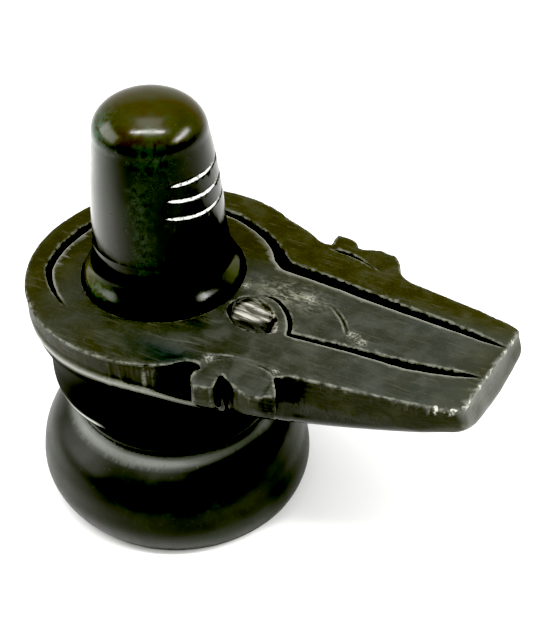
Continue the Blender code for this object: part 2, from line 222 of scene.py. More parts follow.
# ------------------------------------------------------------------ turned profiles
def smooth_table(x, pairs):
    """A curve through a short list of (x, value), with slopes taken from the neighbours."""
    px, pv = np.array([q[0] for q in pairs], float), np.array([q[1] for q in pairs], float)
    n = len(px)
    m = np.array([(pv[min(n - 1, i + 1)] - pv[max(0, i - 1)]) / (px[min(n - 1, i + 1)] - px[max(0, i - 1)]) for i in range(n)])
    x = np.clip(x, px[0], px[-1])
    i = np.clip(np.searchsorted(px, x, side="right") - 1, 0, n - 2)
    h = px[i + 1] - px[i]
    t = (x - px[i]) / h
    return ((1 + 2 * t) * (1 - t) ** 2 * pv[i] + t * (1 - t) ** 2 * h * m[i]
            + t * t * (3 - 2 * t) * pv[i + 1] + t * t * (t - 1) * h * m[i + 1])


FOOT_SIDE = ((0.0, 29.95), (4.0, 31.4), (8.0, 31.75), (12.0, 31.1), (16.0, 30.2), (20.0, 28.2), (24.65, 22.8))
FOOT_CENTRE_X = ((0.0, 0.05), (12.0, -0.7), (24.6, 0.0))
FOOT_CENTRE_Y = ((0.0, 0.7), (12.0, -1.25), (24.6, 0.0))


def foot_radius(z):
    return float(smooth_table(np.array([z]), FOOT_SIDE)[0])


def foot_centre(z):
    return smooth_table(z, FOOT_CENTRE_X).astype(F32), smooth_table(z, FOOT_CENTRE_Y).astype(F32)


def shaft_radius(z):
    t = (z - PLATE_TOP) / (SHAFT_TOP_Z - PLATE_TOP)
    return 14.27 + 0.13 * t - 2.9 * t * t


def base_profile():
    p = [(0.0, 0.0), (10.0, 0.0), (20.0, 0.0), (28.0, 0.0)]
    p += bezier((29.2, 0.0), (29.85, 0.0), (foot_radius(0.55) - 0.02, 0.55), 5)
    p += [(foot_radius(z), z) for z in np.linspace(0.55, FOOT_RIM_Z - 0.25, 46)]
    neck = [(22.78, 24.72), (22.5, 25.3), (22.42, 26.2), (22.55, 27.3), (22.95, 28.3), (23.7, 29.5), (24.7, 30.9),
            (25.6, 32.0), (26.35, 33.1), (26.85, 34.2), (27.1, 35.4), (27.16, 36.6), (27.1, 38.2), (27.1, 40.0),
            (27.2, 42.0), (27.5, 44.0), (28.0, 46.0), (28.65, 48.0), (29.35, 49.8), (29.9, 51.2)]
    p += spline(neck, 6)
    p += [(30.6, 52.1), (31.4, 52.7), (32.4, 53.1), (33.6, 53.4), (34.5, 53.6), (34.5, 60.5), (0.0, 60.5)]
    return p


def lingam_profile():
    ring = [(16.8, 56.0), (17.0, 58.2), (17.08, 59.1), (17.0, 59.8), (16.72, 60.5), (16.35, 61.1), (15.9, 61.7), (15.45, 62.35),
            (15.05, 63.1), (14.75, 64.0), (14.55, 65.1), (14.4, 66.4), (14.22, 68.2)]
    p = [(0.0, 56.0)] + spline(ring, 6)
    p += [(shaft_radius(z), z) for z in np.linspace(68.9, SHAFT_TOP_Z - 0.2, 40)]
    for a in np.linspace(0.02, 0.5 * math.pi, 46):
        p.append((shaft_radius(SHAFT_TOP_Z) * max(0.0, math.cos(a)) ** 0.85, SHAFT_TOP_Z + (TOP_Z - SHAFT_TOP_Z) * math.sin(a)))
    return p


def profile_table(profile):
    """Mirrored at the axis, so that the distance stays smooth there."""
    tab = Table(-1.0, 36.0, -2.0, 102.0, 0.14)
    pts = list(profile)
    mirrored = [(-r, z) for r, z in reversed(pts) if r > 0]
    tab.val = polygon_distance(tab, pts + mirrored)
    return tab


# ------------------------------------------------------------------ the plan outline
def on_plate(deg, r=PLATE_R):
    a = math.radians(deg)
    return (PLATE_X + r * math.cos(a), PLATE_Y + r * math.sin(a))


def half_width(x):
    return 19.2 - 0.152 * (x - 38.0)


def outline():
    pts = [on_plate(a) for a in np.linspace(66, 290, 120)]
    pts += spline([on_plate(290), on_plate(295, 30.9), (15.6, -25.7), (17.4, -23.9), (19.2, -22.9), (20.8, -22.8), (21.7, -23.3)], 6)
    # near lug: small tooth, rounded notch, broad tooth
    pts += spline([(21.75, -23.6), (21.3, -25.0), (21.35, -26.5), (21.9, -27.35), (23.0, -27.5), (24.6, -27.2), (25.75, -26.85)], 5)
    pts += spline([(25.95, -26.5), (25.85, -25.4), (25.6, -24.2), (25.7, -23.3), (26.3, -22.95), (27.2, -23.3), (28.8, -24.1),
                   (30.6, -24.95), (32.4, -25.45), (34.4, -25.4), (36.4, -25.0), (38.1, -24.65)], 5)
    pts += spline([(38.4, -24.5), (37.5, -23.0), (36.4, -21.3), (35.6, -20.1), (35.75, -19.6), (36.6, -19.1)], 5)
    pts += [(x, PLATE_Y - half_width(x) - 0.25 * math.sin((x - 38) / 32 * math.pi)) for x in np.linspace(38.3, 70.0, 30)]
    pts += [(76.0, PLATE_Y - half_width(75.5)), (80.0, PLATE_Y - half_width(79.0))]
    pts += [(80.0, PLATE_Y + 5.0)]
    pts += spline([(77.2, PLATE_Y + 9.4), (75.6, PLATE_Y + 11.0), (74.0, PLATE_Y + 12.5), (71.3, PLATE_Y + 13.75), (67.8, PLATE_Y + 14.5)], 6)
    pts += [(x, PLATE_Y + half_width(x)) for x in np.linspace(66.0, 48.5, 14)]
    # far lug
    pts += spline([(47.4, 19.1), (46.0, 20.0), (45.1, 21.2), (44.0, 23.5), (42.4, 25.5), (40.4, 26.6), (38.2, 26.8), (36.2, 26.15),
                   (34.4, 25.65), (33.4, 25.8), (32.9, 26.6), (31.9, 27.5), (30.2, 28.0), (28.7, 28.0), (28.05, 27.3), (27.95, 26.0), (28.1, 24.6)], 5)
    pts += spline([(28.0, 23.7), (26.6, 23.3), (24.8, 23.8), (21.8, 25.5), (18.6, 27.0), (15.6, 28.1), (13.6, 29.0)], 5)
    clean = []
    for q in pts:
        if not clean or math.dist(q, clean[-1]) > 0.05:
            clean.append(q)
    return clean


# ------------------------------------------------------------------ cuts in the plate
def far_groove():
    rad = ([31, 45, 68, 90, 120, 150, 180, 207, 238], [23.8, 23.3, 22.8, 23.2, 24.1, 24.8, 25.1, 26.3, 24.5])
    wid = ([31, 45, 90, 150, 180, 207, 225, 238], [2.2, 1.6, 1.25, 1.45, 1.5, 1.15, 0.7, 0.25])
    path = []
    for deg in np.linspace(240, 33, 110):
        x, y = on_plate(deg, np.interp(deg, *rad))
        path.append((x, y, np.interp(deg, *wid)))
    for x in np.linspace(22.8, 72.6, 40):
        path.append((x, 12.3 - 0.093 * (x - 24.0) + 0.12 * math.sin(x * 0.23), np.interp(x, [22.8, 33, 45, 60, 68, 72.6], [2.35, 2.25, 1.9, 1.6, 1.2, 0.3])))
    return [(a, b, 1.3 * w) for a, b, w in path]


def near_groove():
    xs = np.linspace(33.0, 71.4, 44)
    y = np.interp(xs, [33.0, 38.7, 45.2, 51.8, 58.1, 64.0, 69.8, 71.4], [-7.35, -6.75, -6.1, -5.8, -5.3, -4.1, -2.6, -2.3])
    y = np.convolve(np.pad(y, 3, mode="edge"), np.ones(7) / 7, "valid")
    w = 1.3 * np.interp(xs, [33.0, 40, 50.0, 57.0, 62.0, 67.0, 71.4], [0.9, 1.0, 1.35, 1.75, 1.6, 1.2, 0.3])
    return list(zip(xs, y - 0.2, w))


def with_width(pts, widths):
    n = len(pts)
    at = np.linspace(0, 1, len(widths))
    return [(p[0], p[1], float(np.interp(i / (n - 1), at, widths))) for i, p in enumerate(pts)]


def plate_maps():
    """Height of the plate's top and masks for its marks, on a plan grid."""
    tab = Table(-36.0, 81.0, -36.0, 36.0, 0.14)
    X, Y = tab.u, tab.v
    XX, YY = tab.full()
    one = np.zeros((tab.nu, tab.nv), F32)
    dout = polygon_distance(tab, outline())
    h = np.full((tab.nu, tab.nv), PLATE_TOP, F32)
    # filed and slightly wavy, never quite flat
    wav = 0.085 * noise_a(XX * 0.10, YY * 0.16, one + 3.3) + 0.045 * noise_b(XX * 0.27, YY * 0.42, one + 8.1)
    wav += 0.018 * noise_c(XX * 0.55, YY * 1.7, one + 1.7)
    # the hammered, scraped patch between collar and spout
    scr = np.exp(-(((XX - 27.6) / 7.5) ** 2 + ((YY - 3.6) / 3.4) ** 2))
    wav += scr * (0.07 * noise_a(XX * 0.75, YY * 0.95, one + 5.0) + 0.05 * noise_b(XX * 1.7, YY * 1.9, one + 2.0))
    h += wav - 0.10
    # light fall of the rim
    h -= 0.12 * smoothstep(-1.4, 0.0, dout)
    # the shallow hollow on the near side of the neck
    qx, qy = XX - 13.4, YY + 22.6 + 0.02 * (XX - 13.4)
    e = (qx / 8.8) ** 2 + (np.where(qy > 0, qy / 3.4, qy / 5.0)) ** 2
    scoop = np.exp(-1.9 * e)
    h -= 0.5 * scoop
    # pale rubbed spots
    scuff = np.zeros((tab.nu, tab.nv), F32)
    for sx, sy, sr in ((44.3, -2.2, 0.9), (46.6, -3.5, 1.0), (21.9, -20.6, 0.8), (35.2, -18.6, 0.7), (31.9, 4.2, 1.1), (24.8, 12.0, 0.9), (18.0, 2.4, 0.8), (-19.3, -23.2, 0.9)):
        scuff = np.maximum(scuff, np.exp(-((XX - sx) ** 2 + (YY - sy) ** 2) / sr ** 2))
    # a step down to the near lug
    lugstep = np.maximum(-0.16 * (YY + 19.6) - 0.02 * np.abs(XX - 28.5), 0)
    inlug = smoothstep(20.8, 22.3, XX) * (1 - smoothstep(35.5, 37.0, XX)) * (YY < -15)
    arc = -18.25 - 0.030 * (XX - 28.5) ** 2
    below = smoothstep(0.15, -0.45, YY - arc) * inlug
    h -= below * (0.30 + 0.09 * np.clip(arc - YY, 0, 9))
    # far lug: a shallow valley behind the small tooth
    arc2 = 22.4 - 0.030 * (XX - 31.0) ** 2
    inlug2 = smoothstep(27.6, 29.0, XX) * (1 - smoothstep(40.0, 42.5, XX))
    below2 = smoothstep(-0.2, 0.4, YY - arc2) * inlug2
    h -= below2 * 0.55
    d, w, s = path_field(tab, with_width(spline([(28.6, 22.3), (31.0, 22.4), (34.0, 22.0), (37.2, 21.0), (40.6, 19.2)], 8), [0.5, 1.5, 1.3, 0.8, 0.15]), 2.5)
    h -= 1.1 * w * np.clip(1 - (2 * d / np.maximum(w, 0.05)) ** 2, 0, 1)

    groove = np.zeros((tab.nu, tab.nv), F32)
    lip = np.zeros((tab.nu, tab.nv), F32)

    def cut(path, ratio, power=2.0):
        nonlocal groove, lip
        d, w, s = path_field(tab, path, 3.0)
        w = w * (1 + 0.10 * noise_b(XX * 0.8, YY * 0.8, one + 4.4))
        t = 2 * d / np.maximum(w, 0.05)
        g = ratio * w * np.clip(1 - t ** power, 0, 1) * smoothstep(0.15, 0.5, w)
        groove = np.maximum(groove, g)
        # the near edge of each cut, later given a painted highlight
        lip = np.maximum(lip, np.exp(-((t - 1.15) / 0.35) ** 2) * smoothstep(0.3, 0.9, w) * (s < 0))
    cut(far_groove(), 0.8, 2.6)
    cut(near_groove(), 0.8, 2.6)
    cut(with_width(spline([(21.0, 0.7), (23.2, 1.2), (25.6, 1.0), (28.0, -0.3), (30.3, -2.5), (31.9, -5.0), (32.7, -7.6)], 8), [0.25, 0.6, 0.8, 0.95, 1.05, 1.1, 0.9]), 0.8)
    cut(with_width(spline([(34.0, 3.3), (36.2, 4.4), (38.8, 2.8), (41.0, 0.8), (42.6, -1.4), (43.4, -3.2)], 8), [0.2, 0.5, 0.7, 0.8, 0.7, 0.3]), 0.45)
    cut(with_width(spline([(21.9, -20.9), (24.0, -19.3), (27.0, -18.5), (30.5, -18.2), (33.8, -18.6), (35.6, -19.4)], 8), [0.5, 0.6, 0.4, 0.5, 0.6, 0.4]), 0.5)
    cut(with_width(spline([(9.7, -20.3), (14.0, -19.2), (17.5, -18.5), (21.2, -18.5)], 6), [0.2, 0.5, 0.5, 0.3]), 0.35)
    cut(with_width([(31.4, 2.0), (33.6, 1.0)], [0.4, 0.5]), 0.5)
    cut(with_width([(27.5, 6.6), (30.0, 5.9)], [0.3, 0.4]), 0.4)
    # the crevice around the collar
    rl = np.hypot(XX - LING_X, YY - LING_Y)
    crev = 0.8 * np.clip(1 - ((rl - 17.05) / 0.36) ** 2, 0, 1)
    groove = np.maximum(groove, crev)
    # the gouged hollow: its floor falls from the far edge to a steep near rim
    rim = spline([(17.9, -5.2), (18.0, -3.2), (19.3, -1.2), (21.5, -0.2), (24.0, -1.0), (26.6, -2.3), (28.6, -4.3), (30.3, -7.6),
                  (29.6, -8.8), (27.6, -9.7), (25.0, -10.1), (22.4, -9.8), (20.2, -8.6), (18.5, -6.9)], 6, closed=True)
    dp = polygon_distance(tab, rim)
    fall = (XX - 19.4) * 0.33 - (YY + 0.9) * 0.944
    floor = 0.28 + 0.285 * np.maximum(fall, 0) + 0.10 * noise_a(XX * 0.22, (YY + 0.2 * XX) * 1.7, one + 9.0)
    floor += 0.05 * noise_c(XX * 0.4, (YY + 0.2 * XX) * 3.6, one)
    pit = np.clip(np.minimum(floor, -(0.9 + 1.7 * (1 - smoothstep(24.5, 28.5, XX))) * dp), 0, 3)
    pit = np.where(dp < 0.05, pit, 0)
    # painted shade: the deep part of the gouged hollow and the strip by its near rim, later coloured near black
    pit_shade = np.maximum(smoothstep(5.0, 6.0, fall), smoothstep(-1.7, -1.0, dp) * (1 - smoothstep(20.5, 22.5, XX)))
    pit_shade = pit_shade * (1 - smoothstep(28.0, 30.0, XX)) * (dp < 0.3)
    groove_all = np.maximum(groove, pit)
    # small nicks along the edges
    n1 = noise_a(XX * 0.9, YY * 0.9, one + 7.0) + 0.5 * noise_b(XX * 2.1, YY * 2.1, one + 2.5)
    nick = smoothstep(0.55, 1.1, n1) * smoothstep(-0.8, -0.1, dout)
    h -= 0.16 * nick
    # chips on the near corner of the tip and along the end face's top edge
    tip = XX - (TIP_X + TIP_SLANT * (YY - PLATE_Y))
    n2 = noise_b(XX * 1.5, YY * 1.1, one + 6.1) + 0.5 * noise_c(XX * 3.1, YY * 2.7, one + 0.5)
    endchip = smoothstep(-0.95, -0.1, tip) * smoothstep(-0.05, 0.75, n2) * (XX > 60)
    h -= 0.22 * endchip
    corner = smoothstep(63.5, 66.5, XX) * smoothstep(-0.95, -0.1, dout) * (YY < 0)
    h -= 0.28 * corner * smoothstep(-0.4, 0.5, n2)
    chips = np.clip(0.8 * endchip + corner * smoothstep(-0.35, 0.35, n2) + 0.35 * nick, 0, 1)
    h = h - groove_all
    # blur once, which rounds every arris to the scale of a worn edge
    def soft(a):
        b = a.copy()
        b[1:-1] = 0.25 * a[:-2] + 0.5 * a[1:-1] + 0.25 * a[2:]
        c = b.copy()
        c[:, 1:-1] = 0.25 * b[:, :-2] + 0.5 * b[:, 1:-1] + 0.25 * b[:, 2:]
        return c
    h = soft(h)
    dout = soft(soft(dout))
    gu, gv = np.gradient(h, tab.step)
    slope = np.sqrt(1 + gu * gu + gv * gv)
    for _ in range(3):
        slope = soft(slope)
    return tab, {"out": dout.astype(F32), "h": h.astype(F32), "slope": slope.astype(F32), "pit": np.where(pit > 0.05, 1, 0).astype(F32),
                 "groove": groove.astype(F32), "lip": lip.astype(F32), "chips": soft(chips).astype(F32), "scrape": scr.astype(F32),
                 "scoop": scoop.astype(F32), "pit_shade": soft(pit_shade).astype(F32), "scuff": scuff.astype(F32)}


base_tab = profile_table(base_profile())
ling_tab = profile_table(lingam_profile())
plan, maps = plate_maps()


def keel(x):
    s = x - 38.0
    return KEEL_Z + KEEL_SLOPE * s + KEEL_CURVE * s * s


def hull_z(x, y):
    return np.minimum(keel(x) + HULL_CURVE * (y - PLATE_Y) ** 2, PLATE_TOP - 2.5)


def wall_foot(x, y):
    """Height of the lower edge of the plate's wall, which falls as the spout's body begins."""
    return 52.75 + np.minimum(hull_z(x, y) + 0.9 - 52.75, 0) * smoothstep(0.0, 9.0, x)


LINES = ((87.0, 86.9, -48.0, 46.0), (84.35, 82.9, -53.0, 44.0), (80.7, 79.1, -55.0, 47.0))   # height at the near end, at the front, first and last angle
LINE_W, LINE_D = 0.68, 0.46


def line_cut(ang, z, wob):
    """Depth of the three lines cut in the shaft."""
    depth = np.zeros_like(z)
    for za, zb, a0, a1 in LINES:
        t = np.clip((ang - a0) / (0 - a0), 0, 1)
        zc = za + (zb - za) * np.sin(t * math.pi / 2)
        k = smoothstep(a0, a0 + 16, ang) * (1 - smoothstep(a1 - 16, a1, ang))
        w = LINE_W * (0.55 + 0.45 * k) * (1 + 0.12 * wob)
        depth = np.maximum(depth, LINE_D * k * np.clip(1 - (2 * np.abs(z - zc) / w) ** 2, 0, 1))
    return depth


def field(P, detail=True):
    x, y, z = P[:, 0], P[:, 1], P[:, 2]
    fx, fy = foot_centre(z)
    r = np.hypot(x - fx, y - fy)
    base = base_tab.at(r, z)
    if detail:
        # hand polishing leaves the turned faces very slightly uneven
        low = noise_a(x * 0.055, y * 0.055, z * 0.055)
        base = base + 0.05 * low
    # the boat-shaped body under the spout
    yy = y - PLATE_Y
    hz = hull_z(x, y)
    gx = KEEL_SLOPE + 2 * KEEL_CURVE * (x - 38.0)
    hull = (hz - z) / np.sqrt(1 + gx * gx + (2 * HULL_CURVE * yy) ** 2)
    hull = np.maximum(hull, 4.0 - x)
    # end face, fullest near its lower edge
    t = np.clip((PLATE_TOP - z) / np.maximum(PLATE_TOP - hz, 3.0), 0, 1)
    bulge = 0.1 * t + 1.4 * np.sin(math.pi * t ** 2.2)
    ex = TIP_X + TIP_SLANT * yy + bulge
    if detail:
        ex = ex + 0.10 * noise_b(y * 0.35, z * 0.5, x * 0.0 + 3.0)
    end = (x - ex) * 0.97
    hull = smax(hull, end, 1.7)
    body = smin(base, hull, 1.4)
    # upright walls cut to the outline
    dout = plan.at(x, y, maps["out"]) - 0.22
    if detail:
        angp = np.arctan2(y - PLATE_Y, x - PLATE_X)
        zl = wall_foot(x, y)
        zt = smoothstep(zl + 0.3, zl + 1.6, z) * (1 - smoothstep(57.4, 58.7, z))
        lugs = smoothstep(20.0, 22.0, x) * (1 - smoothstep(38.0, 41.0, x))
        chis = smoothstep(2.0, 5.0, x) * (1 - smoothstep(12.5, 16.0, x)) * (y < -20)
        amp = 0.02 + 0.08 * lugs + 0.13 * chis + 0.03 * smoothstep(34, 38, x) * (1 - smoothstep(43, 52, x))
        amp = amp * (1 - smoothstep(57.6, 58.6, z) * 0.6)
        marks = noise_c(x * 1.15, y * 1.15, z * 0.13) + 0.5 * noise_b(x * 2.3, y * 2.3, z * 0.3)
        zt = zt * (1 - lugs) * (1 - smoothstep(36, 44, x)) * smoothstep(-25.0, -15.0, x)
        dout = dout + amp * marks + 0.55 * zt + 0.05 * noise_a(x * 0.2, y * 0.2, z * 0.2)
    ramp = np.maximum(40.0 - z, 0)
    k = 0.7 + 0.5 * smoothstep(56.0, 53.0, z) + 1.5 * smoothstep(63, 69, x) * (y < 0)
    body = smax(body, dout - ramp, k)
    h = plan.at(x, y, maps["h"])
    top = (z - h) / plan.at(x, y, maps["slope"])
    body = smax(body, top, 0.32)
    # the lingam and its collar
    lean = 0.3 * smoothstep(86.0, 99.0, z)          # the dome sits a little to one side
    lx, ly = x - LING_X + 0.888 * lean, y - LING_Y + 0.46 * lean
    lr = np.hypot(lx, ly)
    ling = ling_tab.at(lr, z)
    if detail:
        ang = np.degrees(np.arctan2(ly, lx))
        ling = ling + 0.04 * noise_b(x * 0.06, y * 0.06, z * 0.05) + line_cut(ang, z, noise_c(x * 0.9, y * 0.9, z * 0.9))
    return np.minimum(body, ling)


# ------------------------------------------------------------------ meshing
def surface(cell):
    """Surface nets on a sparse grid."""
    lo = np.array([-34.5, -34.5, -1.2])
    hi = np.array([78.5, 34.5, 101.2])
    B = 8
    n = (np.ceil((hi - lo) / cell / B).astype(int)) * B
    nb = n // B
    g = np.stack(np.meshgrid(*[np.arange(k) for k in nb], indexing="ij"), -1).reshape(-1, 3)
    centre = (lo + (g * B + B / 2) * cell).astype(F32)
    d = field(centre, False)
    reach = 0.5 * math.sqrt(3) * B * cell * 1.25 + 0.9
    act = g[np.abs(d) < reach]
    V = np.empty(tuple(n + 1), F32)
    V[:] = 5.0
    inner = g[d <= -reach]
    for q in inner:
        a = q * B
        V[a[0]:a[0] + B, a[1]:a[1] + B, a[2]:a[2] + B] = -5.0
    off = np.stack(np.meshgrid(*[np.arange(B)] * 3, indexing="ij"), -1).reshape(-1, 3)
    step = 1500
    for s in range(0, len(act), step):
        a = (act[s:s + step, None, :] * B + off[None]).reshape(-1, 3)
        P = (lo + a * cell).astype(F32)
        V[a[:, 0], a[:, 1], a[:, 2]] = field(P)
    S = V < 0
    c = np.zeros(tuple(n), np.uint8)
    for i in (0, 1):
        for j in (0, 1):
            for k in (0, 1):
                c += S[i:n[0] + i, j:n[1] + j, k:n[2] + k]
    cells = np.argwhere((c > 0) & (c < 8))
    idx = np.full(tuple(n), -1, np.int32)
    idx[cells[:, 0], cells[:, 1], cells[:, 2]] = np.arange(len(cells))
    acc = np.zeros((len(cells), 3))
    cnt = np.zeros(len(cells))
    corner = [(i, j, k) for i in (0, 1) for j in (0, 1) for k in (0, 1)]
    vals = {q: V[cells[:, 0] + q[0], cells[:, 1] + q[1], cells[:, 2] + q[2]] for q in corner}
    for p in corner:
        for ax in range(3):
            if p[ax]:
                continue
            q = list(p)
            q[ax] = 1
            q = tuple(q)
            a, b = vals[p], vals[q]
            hit = (a < 0) != (b < 0)
            t = np.where(hit, a / np.where(hit, a - b, 1), 0)
            for m in range(3):
                acc[:, m] += hit * (p[m] + (t if m == ax else 0))
            cnt += hit
    verts = lo + (cells + acc / cnt[:, None]) * cell
    quads = []
    for ax in range(3):
        u, v = (ax + 1) % 3, (ax + 2) % 3
        sl0 = [slice(0, n[0]), slice(0, n[1]), slice(0, n[2])]
        sl1 = list(sl0)
        sl1[ax] = slice(1, n[ax] + 1)
        A, Bv = S[tuple(sl0)], S[tuple(sl1)]
        e = np.argwhere(A != Bv)
        e = e[(e[:, u] > 0) & (e[:, v] > 0)]
        fwd = A[e[:, 0], e[:, 1], e[:, 2]]
        def at(du, dv):
            w = e.copy()
            w[:, u] -= du
            w[:, v] -= dv
            return idx[w[:, 0], w[:, 1], w[:, 2]]
        q = np.stack([at(1, 1), at(0, 1), at(0, 0), at(1, 0)], 1)
        q[~fwd] = q[~fwd][:, ::-1]
        quads.append(q)
    return verts, np.concatenate(quads)


def gradient(P, eps):
    P = P.astype(F32)
    g = np.empty((len(P), 3), F32)
    for a in range(3):
        d = np.zeros(3, F32)
        d[a] = eps
        g[:, a] = field(P + d) - field(P - d)
    return g / (2 * eps)


def pull(P, times=2, eps=0.06, most=0.3):
    for _ in range(times):
        f = field(P.astype(F32))
        g = gradient(P, eps)
        s = f / np.maximum((g * g).sum(1), 0.3)
        s = np.clip(s, -most, most)
        P = P - g * s[:, None]
    return P


def new_mesh(name, verts, faces):
    me = bpy.data.meshes.new(name)
    nf, k = faces.shape
    me.vertices.add(len(verts))
    me.vertices.foreach_set("co", (verts * 0.001).astype(F32).ravel())
    me.loops.add(nf * k)
    me.loops.foreach_set("vertex_index", faces.astype(np.int32).ravel())
    me.polygons.add(nf)
    me.polygons.foreach_set("loop_start", np.arange(0, nf * k, k, dtype=np.int32))
    me.update(calc_edges=True)
    me.validate()
    return me


verts, quads = surface(CELL)
verts = pull(verts, 1)
mesh = new_mesh("lingam_stone", verts, quads)
stone = bpy.data.objects.new("lingam_stone", mesh)
bpy.context.scene.collection.objects.link(stone)
mod = stone.modifiers.new("thin", "DECIMATE")
mod.ratio = min(1.0, TRIANGLES / (2.0 * len(quads)))
mod.use_collapse_triangulate = True
thin = bpy.data.meshes.new_from_object(stone.evaluated_get(bpy.context.evaluated_depsgraph_get()))
stone.modifiers.clear()
stone.data = thin
bpy.data.meshes.remove(mesh)
mesh = thin
mesh.name = "lingam_stone"
V = np.empty(len(mesh.vertices) * 3, F32)
mesh.vertices.foreach_get("co", V)
V = V.reshape(-1, 3) * 1000.0
V = pull(V, 2)
lo_b = np.array(CAD_LO) * 1000 + 0.01
hi_b = np.array(CAD_HI) * 1000 - 0.01
V = np.clip(V, lo_b, hi_b).astype(F32)
mesh.vertices.foreach_set("co", (V * 0.001).astype(F32).ravel())
N = gradient(V, 0.11)
N /= np.maximum(np.linalg.norm(N, axis=1, keepdims=True), 1e-6)


# ------------------------------------------------------------------ masks for the material
def put(name, values):
    a = mesh.attributes.new(name, "FLOAT", "POINT")
    a.data.foreach_set("value", np.clip(values, 0, 1).astype(F32))


x, y, z = V.T
lr = np.hypot(x - LING_X, y - LING_Y)
on_lingam = (ling_tab.at(lr, z) < 0.45) & (z > 57.9) & (lr < 17.6)
fx, fy = foot_centre(z)
r0 = np.hypot(x - fx, y - fy)
turned = ((base_tab.at(r0, z) > -0.35) & (z < 51.6)) | on_lingam
off_line = smoothstep(0.5, 0.9, np.abs(z - wall_foot(x, y)))
put("polish", turned.astype(F32) * np.where(on_lingam, 1.0, (1 - smoothstep(50.8, 52.4, z)) * np.where((x > 4) & (x < 22) & (y < -18), off_line, 1.0)))
ring = 0.55
lap = np.zeros(len(V), F32)
for ax in range(3):
    d = np.zeros(3, F32)
    d[ax] = ring
    lap += field(V + d) + field(V - d)
lap /= ring * ring
put("edge", smoothstep(0.35, 1.6, lap))
put("dent", smoothstep(0.35, 1.6, -lap))
topface = (N[:, 2] > 0.35) & (z > 54) & ~on_lingam
put("groove", plan.at(x, y, maps["groove"]) / 0.9 * (z > 53) * (~on_lingam))
put("pit", plan.at(x, y, maps["pit"]) * (z > 53) * (~on_lingam))
put("lip", plan.at(x, y, maps["lip"]) * topface)
put("chips", plan.at(x, y, maps["chips"]) * smoothstep(57.2, 57.9, z) * (~on_lingam))
put("scrape", plan.at(x, y, maps["scrape"]) * topface)
put("scoop", plan.at(x, y, maps["scoop"]) * topface)
put("pit_shade", plan.at(x, y, maps["pit_shade"]) * (z > 53) * (~on_lingam))
put("scuff", plan.at(x, y, maps["scuff"]) * topface)
# the rounded lower edge of the plate's wall carries a painted highlight, brightest on the left
turn = np.degrees(np.arctan2(y - PLATE_Y, x - PLATE_X)) % 360
pale = np.interp(turn, [0, 60, 120, 180, 215, 238, 262, 285, 300, 330], [0.1, 0.3, 0.4, 0.7, 1.0, 1.0, 0.8, 0.65, 0.5, 0.2])
wall_zone = (r0 > 27.0) & (z > 44.0) & (x < 22.0)
put("bead", np.exp(-((z - wall_foot(x, y)) / 0.62) ** 2) * pale * wall_zone)
# under the plate the turned stone is made rough and coloured near black, the colour being painted shade under the
# plate's overhang
put("dull_and_shade", smoothstep(27.5, 30.0, z) * (1 - smoothstep(51.0, 52.5, z)) * (~on_lingam) * (r0 < 31.5) * (x < 40.0))
# a painted glint on the lower roll of the bowl, on the left
view_turn = (np.degrees(np.arctan2(y, x)) - 27.4) % 360
put("lip_glint", np.exp(-((z - 34.2) / 0.6) ** 2) * smoothstep(203, 212, view_turn) * (1 - smoothstep(233, 241, view_turn)) * (r0 > 24) * (r0 < 28))
# a painted light line along the crease at the top of the foot
put("rim_light_line", np.exp(-((z - 23.7) / 0.7) ** 2) * (r0 > 22.6) * (r0 < 26.0))
put("endface", smoothstep(0.45, 0.8, N[:, 0]) * (x > 66))
# the upright walls are painted darker than the top as painted shade, and near black as painted shade in the recesses
# beside the teeth
wall_shade = (1 - smoothstep(0.30, 0.62, np.abs(N[:, 2]))) * (~on_lingam) * (z < 58.4) * (1 - smoothstep(0.45, 0.8, N[:, 0]) * (x > 66))
put("wall", wall_shade)
deep = np.maximum(smoothstep(12.0, 15.0, x) * (1 - smoothstep(20.4, 21.3, x)), np.exp(-((x - 26.5) / 0.9) ** 2))
deep = np.maximum(deep, smoothstep(34.6, 36.0, x) * (1 - smoothstep(39.0, 43.0, x)))
put("recess_shade", deep * (y < -16.0) * (z > 44.0) * (z < 58.2) * (1 - smoothstep(0.30, 0.55, N[:, 2])))
# the foot is only rubbed smooth, the rest of the turned faces are polished
put("satin", 1 - smoothstep(23.0, 25.5, z))
# green stone at the shoulder of the lingam and on the collar, on the left, placed and brightened where the left light's
# sheen falls: partly the stone's colour, partly painted sheen
green = np.exp(-(((x + 7.4) ** 2 + (y + 7.8) ** 2 + (z - 94.4) ** 2) / 4.4 ** 2))
green = np.maximum(green, np.exp(-(((x + 7.6) / 4.6) ** 2 + ((y + 14.4) / 2.8) ** 2 + ((z - 60.9) / 1.5) ** 2)))
green = np.maximum(green, 0.25 * np.exp(-(((x - 5.5) ** 2 + (y + 9.5) ** 2 + (z - 94.0) ** 2) / 4.0 ** 2)))
around = np.degrees(np.arctan2(y - LING_Y, x - LING_X))
green = np.maximum(green, 0.18 * np.exp(-((around + 72) / 10) ** 2) * smoothstep(66, 70, z) * (1 - smoothstep(86, 90, z)))
put("green", green * on_lingam)
put("dometop", smoothstep(93.5, 96.0, z))
# the collar's flanks painted light olive as painted light where the side lights fall, and greyer stone on the middle of
# the plate
seen = (around - 27.4) % 360
lit_flank = np.maximum(np.exp(-((seen - 192) / 30.0) ** 2), 0.55 * np.exp(-((seen - 345) / 20.0) ** 2))
put("lit_flank", lit_flank * on_lingam * (z < 63.2) * (lr > 14.9))
put("greyer", smoothstep(8, 18, x) * (1 - smoothstep(60, 72, x)) * (1 - smoothstep(6.0, 11.0, y)))
# browner on the far rail and round the left of the plate
put("olive", np.maximum(smoothstep(7.0, 14.5, y), smoothstep(-12.0, -24.0, x)))
ang = np.degrees(np.arctan2(y - LING_Y, x - LING_X))
put("powder", line_cut(ang, z, np.zeros_like(z)) / LINE_D * (lr < 15) * (z > 75) * (1 - 0.62 * smoothstep(-8.0, 16.0, ang)))
mesh.polygons.foreach_set("use_smooth", np.ones(len(mesh.polygons), bool))
mesh.normals_split_custom_set_from_vertices([tuple(n) for n in N.tolist()])


